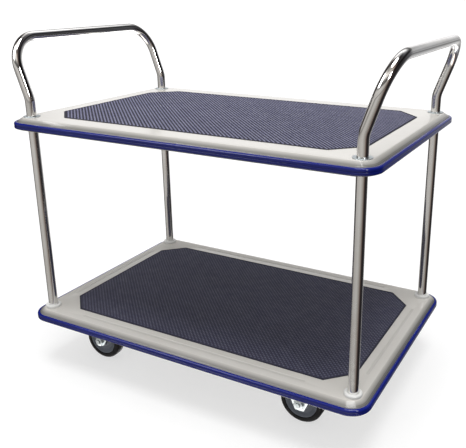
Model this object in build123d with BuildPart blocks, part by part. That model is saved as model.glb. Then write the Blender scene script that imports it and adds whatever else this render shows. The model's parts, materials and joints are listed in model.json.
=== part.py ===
"""Two-deck platform trolley: two pressed steel decks on four chromed posts, a push
bar at each end, two swivel casters at the -X end and two fixed casters at the +X end.

Millimetres. +X runs along the deck towards the fixed casters, -Y is the front long
side, +Z is up. The origin is on the floor under the middle of the decks.
"""

import os

from build123d import *

os.makedirs("parts", exist_ok=True)

# ---- Driving dimensions ----
DECK_LENGTH = 900.0  # over the bumpers
DECK_WIDTH = 580.0
LOWER_TOP = 148.0  # top of the lower deck's sheet above the floor
DECK_SPACING = 490.0  # from one deck's top to the other's
CORNER_R = 46.0  # outer corner of a bumper seen from above

SHEET = 2.0  # deck sheet
DECK_DEPTH = 26.0  # from a deck's top to the foot of its flange
SLOPE_RUN = 13.0  # the sloping band between the flat top and the flange
SLOPE_DROP = 8.0
LIP = 12.0  # return lip at the foot of the flange
SHOULDER_R = 8.0
FLANGE_R = 2.5
GROOVE_DEPTH = 0.7
GROOVE_W = 8.0

BUMPER_T = 7.0
BUMPER_TOP = 8.6  # below the deck's top
BUMPER_H = 15.0
BUMPER_TOP_R = 4.0
BUMPER_FOOT_R = 3.0
BUMPER_GROOVE_Z = 6.3  # fine groove in the strip's face, above the strip's foot
BUMPER_GROOVE_H = 1.0
BUMPER_GROOVE_DEPTH = 0.7
BUMPER_JOINT = 0.8  # gap where the strip's two ends meet
BUMPER_JOINT_Y = 30.0

MAT_HALF_X = 390.0
LOWER_MAT_HALF_Y = 229.0
LOWER_MAT_CUT = 54.0  # how much of each corner is cut off, along X and along Y
LOWER_MAT_CORNER_R = 2.0
UPPER_MAT_HALF_Y = 223.0
UPPER_MAT_CUT = 59.0
UPPER_MAT_CORNER_R = 10.0
MAT_T = 1.8
MAT_RECESS = 0.8

CHANNEL_LENGTH = 524.0
CHANNEL_FLANGE = 15.0
CHANNEL_WALL = 2.0
LOWER_CHANNEL_WEB = 116.0
UPPER_CHANNEL_WEB = 50.0
UPPER_CHANNEL_DEPTH = 18.0

POST_X = 410.0
POST_Y = 246.0
TUBE_R = 11.1
TUBE_WALL = 1.5
PLUG_LENGTH = 20.0
THREAD_R = 4.0
THREAD_CLEAR = 0.05
BOLT_HOLE_R = 4.2
BOLT_HEX_R = 7.5  # across the corners of the heads and nuts, from the middle
BOLT_HEAD_H = 5.5
BOLT_NUT_H = 6.5
BOLT_TAIL = 2.5  # thread that stands past a nut
STUD_REACH = 16.0  # how far a stud or bolt goes into a plug
STUD_TIP = 0.8
BASE_WASHER_R = 12.0
BASE_WASHER_T = 1.6

COLLAR_R = 19.0
COLLAR_H = 7.0
COLLAR_EDGE_R = 3.0
RING_CLEAR = 0.2  # collar and bush bores round the tube
BUSH_TOP_R = 17.5
BUSH_FOOT_R = 15.5
BUSH_H = 27.5
BUSH_EDGE_R = 2.0
FOOT_WASHER_R = 19.0
FOOT_WASHER_T = 1.5
FOOT_WASHER_EDGE = 0.6

HANDLE_RISE = 178.0  # bar axis above the upper deck
HANDLE_KNEE = 42.0  # where the legs start to lean outwards
HANDLE_LEAN = 48.0  # how far out the bar lies from the legs' feet
HANDLE_KNEE_R = 60.0
HANDLE_BEND_R = 75.0

WHEEL_R = 52.0
RIM_R = 38.5
WHEEL_Y = 182.0
CASTER_X = 270.0  # fixed axle, and the swivel's kingpin on the other side
TRAIL = 33.0  # how far the swivel wheel's axle lies behind its kingpin
TYRE_HALF = 14.0
TYRE_SHOULDER_R = 5.0
HUB_HALF = 17.9
HUB_R = 14.5
WEB_HALF = 10.0
RIM_HALF = 12.5
BEARING_R = 10.0
BEARING_HALF = 18.1

AXLE_R = 6.0
AXLE_HEX_R = 10.4
AXLE_HEAD_H = 6.0
AXLE_NUT_H = 7.5
AXLE_TAIL = 2.5
RUNNING_CLEAR = 0.06

PLATE_TOP = 123.0  # top face of a caster's plate above the floor
PLATE_T = 2.5
PLATE_X = 100.0
PLATE_Y = 80.0
PLATE_CORNER_R = 10.0
BOLT_PITCH_X = 80.0
BOLT_PITCH_Y = 60.0
LEG_IN = 18.5  # caster leg's inner face from the wheel's mid plane
LEG_T = 2.5
LEG_TOP_HALF = 36.0  # half widths of a fixed caster's leg: at the plate, cut and foot
LEG_CUT_HALF = 22.0
LEG_FOOT_HALF = 10.5
LEG_CUT_Z = 60.0
LEG_FOOT_Z = 35.0

BALL_R = 3.5
BALL_RING_R = 19.0
BALL_Z = 114.0
BALL_CLEAR = 0.1
BALLS = 14
RACE_GAP = 4.0
RACE_OUT_R = 25.0
RACE_LIP = 2.0  # how far the upper track stands out past the lower one
RACE_BORE_R = 12.0
CUP_BORE_R = 11.0
CROWN_LOW = 107.0
CROWN_T = 2.5
CROWN_BACK = 48.0  # from the kingpin towards the wheel
CROWN_FRONT = 22.0
CROWN_CORNER_R = 8.0
EYE_R = 14.0  # round the axle at a fork leg's foot
KINGPIN_R = 6.0
KINGPIN_HEAD_R = 10.0
KINGPIN_HEAD_H = 4.0
KINGPIN_HEAD_EDGE = 1.5
KINGPIN_GAP = 0.4  # between the head and the crown

# ---- Worked out from the above ----
UPPER_TOP = LOWER_TOP + DECK_SPACING
FLANGE_X = DECK_LENGTH / 2 - BUMPER_T
FLANGE_Y = DECK_WIDTH / 2 - BUMPER_T
FLANGE_CORNER = CORNER_R - BUMPER_T
LEG_OUT = LEG_IN + LEG_T
PLATE_UNDER = PLATE_TOP - PLATE_T
UPPER_RACE_LOW = BALL_Z + RACE_GAP / 2
LOWER_RACE_TOP = BALL_Z - RACE_GAP / 2
CROWN_TOP = CROWN_LOW + CROWN_T
ENDS = (("left", -1), ("right", 1))
SIDES = (("front", -1), ("back", 1))
POSTS = [(f"{side}_{end}", sx * POST_X, sy * POST_Y) for end, sx in ENDS for side, sy in SIDES]
POST_SPOTS = [(x, y) for _, x, y in POSTS]
CASTER_SPOTS = [(sx * CASTER_X, sy * WHEEL_Y) for _, sx in ENDS for _, sy in SIDES]


def write(builder, label):
    """Label a finished piece and write its STEP file."""
    builder.part.label = label
    export_step(builder.part, f"parts/{label}.step")


def xz_plane(y):
    """An upright plane at y, with its sketch axes along +X and +Z."""
    return Plane.XZ.offset(-y)


def axle_plane(x, y):
    """The upright plane through a wheel's axle: along the axle, then up."""
    return Plane(origin=(x, y, WHEEL_R), x_dir=(0, 1, 0), z_dir=(1, 0, 0))


# ---- Decks ----
def make_deck(label, top, mat_half_y, mat_cut, grooves):
    """A pressed tray: flat top, sloping band, upright flange and return lip."""
    foot = top - DECK_DEPTH
    with BuildPart() as deck:
        with BuildSketch(Plane.XY.offset(foot)):
            RectangleRounded(2 * FLANGE_X, 2 * FLANGE_Y, FLANGE_CORNER)
        extrude(amount=DECK_DEPTH - SLOPE_DROP)
        with BuildSketch(Plane.XY.offset(top - SLOPE_DROP)):
            RectangleRounded(2 * FLANGE_X, 2 * FLANGE_Y, FLANGE_CORNER)
        with BuildSketch(Plane.XY.offset(top)):
            RectangleRounded(
                2 * (FLANGE_X - SLOPE_RUN), 2 * (FLANGE_Y - SLOPE_RUN), FLANGE_CORNER - SLOPE_RUN
            )
        loft()
        fillet(deck.faces().sort_by(Axis.Z)[-1].outer_wire().edges(), SHOULDER_R)
        flange_top = deck.edges().filter_by_position(
            Axis.Z, top - SLOPE_DROP - 0.1, top - SLOPE_DROP + 0.1
        )
        fillet(flange_top, FLANGE_R)

        # the hollow underside, one sheet thickness inside the outer faces
        with BuildSketch(Plane.XY.offset(foot)):
            RectangleRounded(2 * (FLANGE_X - LIP), 2 * (FLANGE_Y - LIP), FLANGE_CORNER - LIP)
        extrude(amount=SHEET, mode=Mode.SUBTRACT)
        inner_x = FLANGE_X - SHEET
        inner_y = FLANGE_Y - SHEET
        with BuildSketch(Plane.XY.offset(foot + SHEET)):
            RectangleRounded(2 * inner_x, 2 * inner_y, FLANGE_CORNER - SHEET)
        extrude(amount=DECK_DEPTH - SLOPE_DROP - 2 * SHEET, mode=Mode.SUBTRACT)
        with BuildSketch(Plane.XY.offset(top - SLOPE_DROP - SHEET)):
            RectangleRounded(2 * inner_x, 2 * inner_y, FLANGE_CORNER - SHEET)
        with BuildSketch(Plane.XY.offset(top - SHEET)):
            RectangleRounded(
                2 * (inner_x - SLOPE_RUN), 2 * (inner_y - SLOPE_RUN), FLANGE_CORNER - SLOPE_RUN
            )
        loft(mode=Mode.SUBTRACT)

        # the mat's shallow recess and the bolt holes under the posts
        with BuildSketch(Plane.XY.offset(top)):
            mat_outline(mat_half_y, mat_cut)
        extrude(amount=-MAT_RECESS, mode=Mode.SUBTRACT)
        with BuildSketch(Plane.XY.offset(top)):
            with Locations(*POST_SPOTS):
                Circle(BOLT_HOLE_R)
        extrude(amount=-SHEET, mode=Mode.SUBTRACT)
        if grooves:
            outlines = groove_outlines(top, mat_half_y, mat_cut)
            extrude(outlines, amount=-GROOVE_DEPTH, mode=Mode.SUBTRACT)
    write(deck, label)


def groove_outlines(top, mat_half_y, mat_cut):
    """The long stiffening grooves between the mat and the sloping band."""
    groove_y = (mat_half_y + FLANGE_Y - SLOPE_RUN) / 2
    groove_x = (MAT_HALF_X + FLANGE_X - SLOPE_RUN) / 2
    half_length = MAT_HALF_X - 1.6 * mat_cut
    half_width = mat_half_y - 1.2 * mat_cut
    with BuildSketch(Plane.XY.offset(top)) as grooves:
        with Locations((0, groove_y), (0, -groove_y)):
            SlotOverall(2 * half_length, GROOVE_W)
        with Locations((groove_x, 0), (-groove_x, 0)):
            SlotOverall(2 * half_width, GROOVE_W, rotation=90)
    return grooves.sketch


def mat_outline(half_y, cut):
    """The mat's rectangle with its four corners cut off."""
    corners = [(MAT_HALF_X - cut, half_y), (MAT_HALF_X, half_y - cut)]
    corners += [(x, -y) for x, y in reversed(corners)]
    corners += [(-x, -y) for x, y in corners]
    Polygon(*corners, align=None)


def make_mat(label, top, half_y, cut, corner_r):
    """A ribbed vinyl sheet, seated in the deck's recess."""
    with BuildPart() as mat:
        with BuildSketch(Plane.XY.offset(top - MAT_RECESS)):
            mat_outline(half_y, cut)
        extrude(amount=MAT_T)
        fillet(mat.edges().filter_by(Axis.Z), corner_r)
    write(mat, label)


def make_bumper(label, top):
    """A strip round the flange, with a fine groove along its face and one joint."""
    low = top - BUMPER_TOP - BUMPER_H
    outer = (DECK_LENGTH, DECK_WIDTH, CORNER_R)
    inner = (2 * FLANGE_X, 2 * FLANGE_Y, FLANGE_CORNER)
    cut = BUMPER_GROOVE_DEPTH
    groove_floor = (DECK_LENGTH - 2 * cut, DECK_WIDTH - 2 * cut, CORNER_R - cut)
    with BuildPart() as bumper:
        with BuildSketch(Plane.XY.offset(low)):
            RectangleRounded(*outer)
            RectangleRounded(*inner, mode=Mode.SUBTRACT)
        extrude(amount=BUMPER_H)
        fillet(bumper.faces().sort_by(Axis.Z)[-1].outer_wire().edges(), BUMPER_TOP_R)
        fillet(bumper.faces().sort_by(Axis.Z)[0].outer_wire().edges(), BUMPER_FOOT_R)
        with BuildSketch(Plane.XY.offset(low + BUMPER_GROOVE_Z)):
            RectangleRounded(*outer)
            RectangleRounded(*groove_floor, mode=Mode.SUBTRACT)
        extrude(amount=BUMPER_GROOVE_H, mode=Mode.SUBTRACT)
        with Locations((DECK_LENGTH / 2, BUMPER_JOINT_Y, low)):
            Box(4 * BUMPER_T, BUMPER_JOINT, 4 * BUMPER_H, mode=Mode.SUBTRACT)
    write(bumper, label)


def make_channel(label, x, top, depth, web):
    """A hat-section cross member welded under a deck."""
    low = top - depth
    wall = CHANNEL_WALL
    side_x = (web - wall) / 2
    flange_x = (web + CHANNEL_FLANGE) / 2
    with BuildPart() as channel:
        with BuildSketch(Plane.XZ):
            with Locations((x, low + wall / 2)):
                Rectangle(web, wall)
            with Locations((x - side_x, low + depth / 2), (x + side_x, low + depth / 2)):
                Rectangle(wall, depth)
            with Locations((x - flange_x, top - wall / 2), (x + flange_x, top - wall / 2)):
                Rectangle(CHANNEL_FLANGE, wall)
        extrude(amount=CHANNEL_LENGTH / 2, both=True)
        bends = channel.edges().filter_by(Axis.Y)
        fillet(bends.filter_by_position(Axis.Z, low - 0.1, low + 0.1), 1.5 * wall)
        if low <= PLATE_TOP:
            with BuildSketch(Plane.XY.offset(low)):
                for spot_x, spot_y in CASTER_SPOTS:
                    if spot_x * x > 0:
                        with Locations((spot_x, spot_y)):
                            with GridLocations(BOLT_PITCH_X, BOLT_PITCH_Y, 2, 2):
                                Circle(BOLT_HOLE_R)
            extrude(amount=wall, mode=Mode.SUBTRACT)
    write(channel, label)


# ---- Posts, handles and what joins them ----
def make_post(label, x, y):
    """A chromed tube between the decks."""
    with BuildPart() as post:
        with BuildSketch(Plane.XY.offset(LOWER_TOP)):
            with Locations((x, y)):
                Circle(TUBE_R)
                Circle(TUBE_R - TUBE_WALL, mode=Mode.SUBTRACT)
        extrude(amount=DECK_SPACING - SHEET)
    write(post, label)


def make_collar(label, x, y):
    """A white ring that hides a post's foot on the lower deck."""
    with BuildPart() as collar:
        with BuildSketch(Plane.XY.offset(LOWER_TOP)):
            with Locations((x, y)):
                Circle(COLLAR_R)
        extrude(amount=COLLAR_H)
        fillet(collar.faces().sort_by(Axis.Z)[-1].edges(), COLLAR_EDGE_R)
        with BuildSketch(Plane.XY.offset(LOWER_TOP)):
            with Locations((x, y)):
                Circle(TUBE_R + RING_CLEAR)
        extrude(amount=COLLAR_H, mode=Mode.SUBTRACT)
    write(collar, label)


def make_bush(label, x, y):
    """A tapered plastic spacer round a post's head, under the upper deck."""
    under = UPPER_TOP - SHEET
    with BuildPart() as bush:
        with BuildSketch(Plane.XY.offset(under - BUSH_H)):
            with Locations((x, y)):
                Circle(BUSH_FOOT_R)
        with BuildSketch(Plane.XY.offset(under)):
            with Locations((x, y)):
                Circle(BUSH_TOP_R)
        loft()
        with BuildSketch(Plane.XY.offset(under)):
            with Locations((x, y)):
                Circle(TUBE_R + RING_CLEAR)
        extrude(amount=-BUSH_H, mode=Mode.SUBTRACT)
        fillet(bush.faces().sort_by(Axis.Z)[0].outer_wire().edges(), BUSH_EDGE_R)
    write(bush, label)


def make_handle(label, sx):
    """A bent tube: two upright feet, two legs leaning outwards and a cross bar."""
    foot_z = UPPER_TOP + FOOT_WASHER_T
    foot_x = sx * POST_X
    bar_x = sx * (POST_X + HANDLE_LEAN)
    route = [
        (foot_x, -POST_Y, foot_z),
        (foot_x, -POST_Y, UPPER_TOP + HANDLE_KNEE),
        (bar_x, -POST_Y, UPPER_TOP + HANDLE_RISE),
    ]
    route += [(x, -y, z) for x, y, z in reversed(route)]
    radii = [HANDLE_KNEE_R, HANDLE_BEND_R, HANDLE_BEND_R, HANDLE_KNEE_R]
    with BuildPart() as handle:
        with BuildLine() as path:
            FilletPolyline(*route, radius=radii)
        with BuildSketch(Plane.XY.offset(foot_z)):
            with Locations((foot_x, -POST_Y)):
                Circle(TUBE_R)
                Circle(TUBE_R - TUBE_WALL, mode=Mode.SUBTRACT)
        sweep(path=path.wires()[0])
    write(handle, label)


def make_foot_washers(label):
    """A thin steel washer under each handle foot."""
    with BuildPart() as washers:
        with BuildSketch(Plane.XY.offset(UPPER_TOP)):
            with Locations(*POST_SPOTS):
                Circle(FOOT_WASHER_R)
                Circle(BOLT_HOLE_R, mode=Mode.SUBTRACT)
        extrude(amount=FOOT_WASHER_T)
        top_edges = washers.faces().group_by(Axis.Z)[-1].edges()
        chamfer(top_edges.filter_by(lambda edge: edge.radius > BOLT_HOLE_R + 1), FOOT_WASHER_EDGE)
    write(washers, label)


def make_tube_plugs(label):
    """Threaded plugs pressed into both ends of each post and into the handle feet."""
    with BuildPart() as plugs:
        for level in (LOWER_TOP, UPPER_TOP - SHEET - PLUG_LENGTH, UPPER_TOP + FOOT_WASHER_T):
            with BuildSketch(Plane.XY.offset(level)):
                with Locations(*POST_SPOTS):
                    Circle(TUBE_R - TUBE_WALL)
                    Circle(THREAD_R, mode=Mode.SUBTRACT)
            extrude(amount=PLUG_LENGTH)
    write(plugs, label)


def make_joint_studs(label):
    """Studs through the upper deck that tie each post to the handle foot above it."""
    low = UPPER_TOP - SHEET - STUD_REACH
    high = UPPER_TOP + FOOT_WASHER_T + STUD_REACH
    with BuildPart() as studs:
        with BuildSketch(Plane.XY.offset(low)):
            with Locations(*POST_SPOTS):
                Circle(THREAD_R - THREAD_CLEAR)
        extrude(amount=high - low)
        chamfer(studs.edges(), STUD_TIP)
    write(studs, label)


def make_base_bolts(label):
    """Hexagon bolts up through the lower deck into the posts' bottom plugs."""
    seat = LOWER_TOP - SHEET - BASE_WASHER_T
    with BuildPart() as bolts:
        with BuildSketch(Plane.XY.offset(seat)):
            with Locations(*POST_SPOTS):
                RegularPolygon(BOLT_HEX_R, 6)
        extrude(amount=-BOLT_HEAD_H)
        with BuildSketch(Plane.XY.offset(seat)):
            with Locations(*POST_SPOTS):
                Circle(THREAD_R - THREAD_CLEAR)
        extrude(amount=BASE_WASHER_T + SHEET + STUD_REACH)
    write(bolts, label)


def make_base_washers(label):
    """The washers under the base bolts' heads."""
    with BuildPart() as washers:
        with BuildSketch(Plane.XY.offset(LOWER_TOP - SHEET)):
            with Locations(*POST_SPOTS):
                Circle(BASE_WASHER_R)
                Circle(BOLT_HOLE_R, mode=Mode.SUBTRACT)
        extrude(amount=-BASE_WASHER_T)
    write(washers, label)


# ---- Casters ----
def plate_outline(x, y):
    """A caster's mounting plate with its four bolt holes."""
    with BuildSketch(Plane.XY.offset(PLATE_UNDER)) as plate:
        with Locations((x, y)):
            RectangleRounded(PLATE_X, PLATE_Y, PLATE_CORNER_R)
            with GridLocations(BOLT_PITCH_X, BOLT_PITCH_Y, 2, 2):
                Circle(BOLT_HOLE_R, mode=Mode.SUBTRACT)
    return plate.sketch


def make_fixed_bracket(label, x, y):
    """A plate with two tapering legs whose lower corners are cut off."""
    outline = [(LEG_TOP_HALF, PLATE_UNDER), (LEG_CUT_HALF, LEG_CUT_Z), (LEG_FOOT_HALF, LEG_FOOT_Z)]
    outline += [(-u, z) for u, z in reversed(outline)]
    with BuildPart() as bracket:
        extrude(plate_outline(x, y), amount=PLATE_T)
        for face_y in (y - LEG_IN, y + LEG_OUT):
            with BuildSketch(xz_plane(face_y)):
                Polygon(*[(x + u, z) for u, z in outline], align=None)
                with Locations((x, WHEEL_R)):
                    Circle(AXLE_R + RUNNING_CLEAR, mode=Mode.SUBTRACT)
            extrude(amount=LEG_T)
    write(bracket, label)


def make_swivel_plate(label, x, y):
    """The swivel's mounting plate and upper ball track."""
    with BuildPart() as plate:
        extrude(plate_outline(x, y), amount=PLATE_T)
        with BuildSketch(Plane.XY.offset(PLATE_UNDER)):
            with Locations((x, y)):
                Circle(RACE_OUT_R + RACE_LIP)
                Circle(RACE_BORE_R, mode=Mode.SUBTRACT)
        extrude(amount=UPPER_RACE_LOW - PLATE_UNDER)
        with Locations((x, y, BALL_Z)):
            Torus(BALL_RING_R, BALL_R + BALL_CLEAR, mode=Mode.SUBTRACT)
        with Locations((x, y, PLATE_TOP - PLATE_T / 2)):
            Cylinder(KINGPIN_R, 2 * PLATE_T, mode=Mode.SUBTRACT)
    write(plate, label)


def make_kingpin(label, x, y):
    """The rivet that the fork turns on: a shank and a head under the crown."""
    head_top = CROWN_LOW - KINGPIN_GAP
    with BuildPart() as kingpin:
        with BuildSketch(Plane.XY.offset(head_top)):
            with Locations((x, y)):
                Circle(KINGPIN_R)
        extrude(amount=PLATE_TOP - head_top)
        with BuildSketch(Plane.XY.offset(head_top)):
            with Locations((x, y)):
                Circle(KINGPIN_HEAD_R)
        extrude(amount=-KINGPIN_HEAD_H)
        fillet(kingpin.faces().sort_by(Axis.Z)[0].edges(), KINGPIN_HEAD_EDGE)
    write(kingpin, label)


def make_race_balls(label, x, y):
    """The ring of balls between the plate and the fork's crown."""
    with BuildPart() as balls:
        with Locations((x, y, BALL_Z)):
            with PolarLocations(BALL_RING_R, BALLS):
                Sphere(BALL_R)
    write(balls, label)


def make_fork(label, x, y):
    """The swivel fork: a crown with the lower ball track and two legs to the axle."""
    axle_x = x - TRAIL
    crown_x = x + (CROWN_FRONT - CROWN_BACK) / 2
    leg_back = (x - CROWN_BACK + CROWN_CORNER_R, CROWN_TOP)
    leg_front = (x + CROWN_FRONT - CROWN_CORNER_R, CROWN_TOP)
    with BuildPart() as fork:
        with BuildSketch(Plane.XY.offset(CROWN_LOW)):
            with Locations((crown_x, y)):
                RectangleRounded(CROWN_FRONT + CROWN_BACK, 2 * LEG_OUT, CROWN_CORNER_R)
            with Locations((x, y)):
                Circle(RACE_OUT_R)
        extrude(amount=CROWN_T)
        with BuildSketch(Plane.XY.offset(CROWN_TOP)):
            with Locations((x, y)):
                Circle(RACE_OUT_R)
        extrude(amount=LOWER_RACE_TOP - CROWN_TOP)
        for face_y in (y - LEG_IN, y + LEG_OUT):
            with BuildSketch(xz_plane(face_y)):
                with BuildLine():
                    CenterArc((axle_x, WHEEL_R), EYE_R, 0, 360)
                    Line(leg_back, leg_front)
                make_hull()
                with Locations((axle_x, WHEEL_R)):
                    Circle(AXLE_R + RUNNING_CLEAR, mode=Mode.SUBTRACT)
            extrude(amount=LEG_T)
        with Locations((x, y, BALL_Z)):
            Torus(BALL_RING_R, BALL_R + BALL_CLEAR, mode=Mode.SUBTRACT)
        with Locations((x, y, CROWN_LOW)):
            Cylinder(KINGPIN_R + RUNNING_CLEAR, 4 * CROWN_T, mode=Mode.SUBTRACT)
        with Locations((x, y, LOWER_RACE_TOP)):
            Cylinder(CUP_BORE_R, 2 * (LOWER_RACE_TOP - CROWN_TOP), mode=Mode.SUBTRACT)
    write(fork, label)


def make_axle(label, x, y, outward):
    """A bolt across the caster's legs, its nut on the outside of the trolley."""
    with BuildPart() as axle:
        with BuildSketch(xz_plane(y - outward * LEG_OUT)):
            with Locations((x, WHEEL_R)):
                RegularPolygon(AXLE_HEX_R, 6)
        extrude(amount=outward * AXLE_HEAD_H)
        with BuildSketch(xz_plane(y - outward * LEG_OUT)):
            with Locations((x, WHEEL_R)):
                Circle(AXLE_R)
        extrude(amount=-outward * (2 * LEG_OUT + AXLE_NUT_H + AXLE_TAIL))
    write(axle, label)


def make_axle_nuts(label, spots):
    """The nuts against the casters' outer legs, one for each (x, y, outward)."""
    with BuildPart() as nuts:
        for x, y, outward in spots:
            with BuildSketch(xz_plane(y + outward * LEG_OUT)):
                with Locations((x, WHEEL_R)):
                    RegularPolygon(AXLE_HEX_R, 6)
                    Circle(AXLE_R + THREAD_CLEAR, mode=Mode.SUBTRACT)
            extrude(amount=-outward * AXLE_NUT_H)
    write(nuts, label)


def make_rim(label, x, y):
    """A moulded grey wheel centre: hub, web and outer ring."""
    side = [
        (HUB_HALF, BEARING_R),
        (HUB_HALF, HUB_R),
        (WEB_HALF + 1.5, HUB_R + 2),
        (WEB_HALF, HUB_R + 5),
        (WEB_HALF, RIM_R - 8.5),
        (RIM_HALF - 1, RIM_R - 5),
        (RIM_HALF, RIM_R - 2.5),
        (RIM_HALF, RIM_R),
    ]
    outline = side + [(-u, v) for u, v in reversed(side)]
    with BuildPart() as rim:
        with BuildSketch(axle_plane(x, y)):
            Polygon(*outline, align=None)
        revolve(axis=Axis((x, y, WHEEL_R), (0, 1, 0)))
    write(rim, label)


def make_tyre(label, x, y):
    """A solid rubber tyre moulded on the rim."""
    corners = [(-TYRE_HALF, RIM_R), (TYRE_HALF, RIM_R), (TYRE_HALF, WHEEL_R), (-TYRE_HALF, WHEEL_R)]
    with BuildPart() as tyre:
        with BuildSketch(axle_plane(x, y)) as section:
            Polygon(*corners, align=None)
            fillet(section.vertices().group_by(Axis.Z)[-1], TYRE_SHOULDER_R)
        revolve(axis=Axis((x, y, WHEEL_R), (0, 1, 0)))
    write(tyre, label)


def make_bearing(label, x, y):
    """The sleeve in the hub that runs on the axle."""
    with BuildPart() as bearing:
        with BuildSketch(xz_plane(y)):
            with Locations((x, WHEEL_R)):
                Circle(BEARING_R)
                Circle(AXLE_R + RUNNING_CLEAR, mode=Mode.SUBTRACT)
        extrude(amount=BEARING_HALF, both=True)
    write(bearing, label)


def caster_bolt_spots():
    """The (x, y) of all the bolts through the casters' plates."""
    offsets = [(i * BOLT_PITCH_X / 2, j * BOLT_PITCH_Y / 2) for i in (-1, 1) for j in (-1, 1)]
    return [(x + dx, y + dy) for x, y in CASTER_SPOTS for dx, dy in offsets]


def make_caster_bolts(label):
    """Bolts up through each caster's plate and the channel."""
    spots = caster_bolt_spots()
    with BuildPart() as bolts:
        with BuildSketch(Plane.XY.offset(PLATE_UNDER)):
            with Locations(*spots):
                RegularPolygon(BOLT_HEX_R, 6)
        extrude(amount=-BOLT_HEAD_H)
        with BuildSketch(Plane.XY.offset(PLATE_UNDER)):
            with Locations(*spots):
                Circle(THREAD_R)
        extrude(amount=PLATE_T + CHANNEL_WALL + BOLT_NUT_H + BOLT_TAIL)
    write(bolts, label)


def make_caster_nuts(label):
    """The nuts on those bolts, inside the channels."""
    with BuildPart() as nuts:
        with BuildSketch(Plane.XY.offset(PLATE_TOP + CHANNEL_WALL)):
            with Locations(*caster_bolt_spots()):
                RegularPolygon(BOLT_HEX_R, 6)
                Circle(THREAD_R + THREAD_CLEAR, mode=Mode.SUBTRACT)
        extrude(amount=BOLT_NUT_H)
    write(nuts, label)


# ---- The whole trolley ----
make_deck("lower_deck", LOWER_TOP, LOWER_MAT_HALF_Y, LOWER_MAT_CUT, True)
make_deck("upper_deck", UPPER_TOP, UPPER_MAT_HALF_Y, UPPER_MAT_CUT, False)
make_mat("lower_mat", LOWER_TOP, LOWER_MAT_HALF_Y, LOWER_MAT_CUT, LOWER_MAT_CORNER_R)
make_mat("upper_mat", UPPER_TOP, UPPER_MAT_HALF_Y, UPPER_MAT_CUT, UPPER_MAT_CORNER_R)
make_bumper("lower_bumper", LOWER_TOP)
make_bumper("upper_bumper", UPPER_TOP)

for end, sx in ENDS:
    x = sx * CASTER_X
    under_lower = LOWER_TOP - SHEET
    under_upper = UPPER_TOP - SHEET
    make_channel(f"lower_channel_{end}", x, under_lower, under_lower - PLATE_TOP, LOWER_CHANNEL_WEB)
    make_channel(f"upper_channel_{end}", x, under_upper, UPPER_CHANNEL_DEPTH, UPPER_CHANNEL_WEB)
    make_handle(f"handle_{end}", sx)

for spot, x, y in POSTS:
    make_post(f"post_{spot}", x, y)
    make_collar(f"post_collar_{spot}", x, y)
    make_bush(f"post_bush_{spot}", x, y)

make_foot_washers("handle_washers")
make_tube_plugs("tube_plugs")
make_joint_studs("joint_studs")
make_base_bolts("base_bolts")
make_base_washers("base_washers")
make_caster_bolts("caster_bolts")
make_caster_nuts("caster_nuts")

for side, sy in SIDES:
    y = sy * WHEEL_Y
    make_fixed_bracket(f"fixed_bracket_{side}", CASTER_X, y)
    make_swivel_plate(f"swivel_plate_{side}", -CASTER_X, y)
    make_kingpin(f"kingpin_{side}", -CASTER_X, y)
    make_race_balls(f"race_balls_{side}", -CASTER_X, y)
    make_fork(f"swivel_fork_{side}", -CASTER_X, y)
    for kind, axle_x in (("fixed", CASTER_X), ("swivel", -CASTER_X - TRAIL)):
        make_axle(f"{kind}_axle_{side}", axle_x, y, sy)
        make_rim(f"{kind}_rim_{side}", axle_x, y)
        make_tyre(f"{kind}_tyre_{side}", axle_x, y)
        make_bearing(f"{kind}_bearing_{side}", axle_x, y)
    make_axle_nuts(f"swivel_nut_{side}", [(-CASTER_X - TRAIL, y, sy)])

make_axle_nuts("fixed_nuts", [(CASTER_X, sy * WHEEL_Y, sy) for _, sy in SIDES])
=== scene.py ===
"""Looks of the two-deck platform trolley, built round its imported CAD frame.

Lengths in this file are millimetres and turn into metres where a mesh is made.
"""

import json
import math

import bmesh
import bpy
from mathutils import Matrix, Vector

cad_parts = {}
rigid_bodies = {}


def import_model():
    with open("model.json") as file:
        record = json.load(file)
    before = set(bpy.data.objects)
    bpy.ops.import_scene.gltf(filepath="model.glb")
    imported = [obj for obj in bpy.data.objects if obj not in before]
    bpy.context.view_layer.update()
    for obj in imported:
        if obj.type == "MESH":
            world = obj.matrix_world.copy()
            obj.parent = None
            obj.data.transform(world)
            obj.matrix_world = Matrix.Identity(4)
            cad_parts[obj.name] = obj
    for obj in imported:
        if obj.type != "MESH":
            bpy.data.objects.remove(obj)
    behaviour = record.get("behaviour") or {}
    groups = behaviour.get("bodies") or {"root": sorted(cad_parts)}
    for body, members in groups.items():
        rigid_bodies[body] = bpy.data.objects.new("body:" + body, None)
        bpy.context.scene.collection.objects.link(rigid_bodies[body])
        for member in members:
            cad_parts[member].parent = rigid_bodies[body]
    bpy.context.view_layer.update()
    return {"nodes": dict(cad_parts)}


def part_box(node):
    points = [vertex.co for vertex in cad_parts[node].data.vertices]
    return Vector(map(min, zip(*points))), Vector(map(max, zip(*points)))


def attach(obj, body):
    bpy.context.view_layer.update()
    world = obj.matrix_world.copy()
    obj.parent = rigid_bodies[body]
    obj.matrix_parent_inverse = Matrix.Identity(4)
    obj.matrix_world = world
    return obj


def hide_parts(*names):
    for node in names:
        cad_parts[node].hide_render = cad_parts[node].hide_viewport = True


for stale in list(bpy.data.objects):
    bpy.data.objects.remove(stale)
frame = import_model()
NODES = frame["nodes"]

MM = 0.001
SIDES = (("front", -1), ("back", 1))
ENDS = (("left", -1), ("right", 1))
POSTS = [f"{side}_{end}" for end, _ in ENDS for side, _ in SIDES]
UP = Vector((0, 0, 1))

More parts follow.
